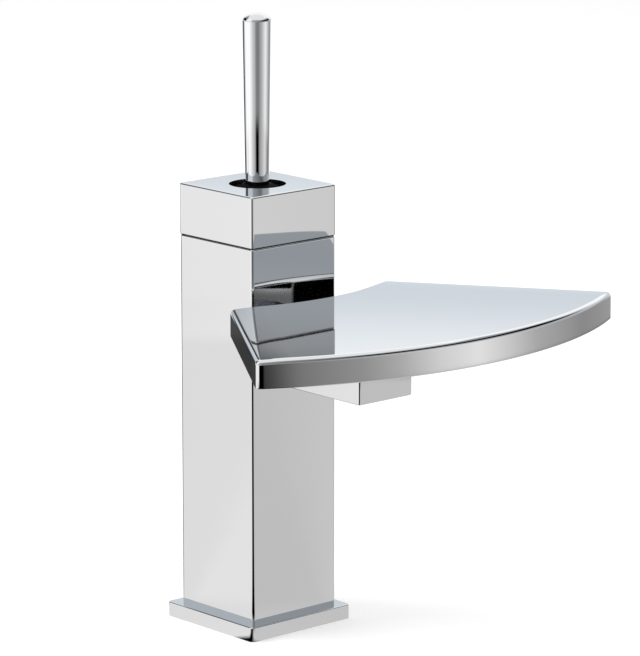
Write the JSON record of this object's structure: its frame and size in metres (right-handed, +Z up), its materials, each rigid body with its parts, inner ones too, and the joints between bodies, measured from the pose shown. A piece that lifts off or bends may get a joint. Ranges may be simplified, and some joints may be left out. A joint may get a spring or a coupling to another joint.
{
  "type": "waterfall basin tap",
  "caption": "Square-column basin tap with a stick lever on its cap and a wide hollow fan-shaped spout that lets water fall from its curved front edge.",
  "frame": {"origin": "on the column's axis, on the deck face under the foot", "axes": "+X towards the spout and the person washing, +Y to that person's right as they face the tap, +Z up the column"},
  "size_m": [0.163, 0.1886, 0.2528],
  "materials": {
    "chrome": "polished chrome plate over brass, mirror bright",
    "brass": "machined, unplated",
    "copper": "drawn copper tube",
    "steel": "plain stainless",
    "black_rubber": "matt seal rubber",
    "white_plastic": "moulded plastic",
    "black_plastic": "moulded black plastic",
    "ceramic": "lapped alumina ceramic, opaque"
  },
  "bodies": {
    "tap": {"base_plate": "chrome", "column_casing": "chrome", "cap_block": "chrome", "spout_arm": "chrome", "fan_cover": "chrome", "fan_floor": "chrome", "foot_block": "brass", "valve_body": "brass", "retaining_nut": "brass", "outlet_nipple": "brass", "riser_tube_hot": "copper", "riser_tube_cold": "copper", "base_screws": "steel", "neck_clip": "steel", "fan_screws": "steel", "arm_screws": "steel", "deck_gasket": "black_rubber", "riser_seals": "black_rubber", "port_seals": "black_rubber", "cap_seal": "black_rubber", "arm_seal": "black_rubber", "mouth_gasket": "black_rubber", "fan_seal": "black_rubber", "cartridge_base": "white_plastic", "cartridge_housing": "white_plastic", "flow_comb": "white_plastic", "nipple_washer": "white_plastic", "fixed_disc": "ceramic"},
    "swivel": {"stem_rotor": "white_plastic", "pivot_pin": "steel"},
    "lever": {"lever_stem": "steel", "dust_cover": "black_plastic", "lever_handle": "chrome"},
    "disc": {"moving_disc": "ceramic", "disc_carrier": "white_plastic"}
  },
  "joints": [
    {"name": "lever_swivel", "type": "hinge", "parent": "tap", "child": "swivel", "pos_m": [0, 0, 0.165], "axis": [0, 0, 1], "range_deg": [-50, 50]},
    {"name": "lever_tilt", "type": "hinge", "parent": "swivel", "child": "lever", "pos_m": [0, 0, 0.165], "axis": [0, 1, 0], "range_deg": [0, 18]},
    {"name": "disc_slide", "type": "slide", "parent": "swivel", "child": "disc", "axis": [1, 0, 0], "range_m": [-0.0055, 0]}
  ],
  "couplings": [
    {"joint": "disc_slide", "follows": "lever_tilt", "m_per_rad": -0.0172}
  ]
}
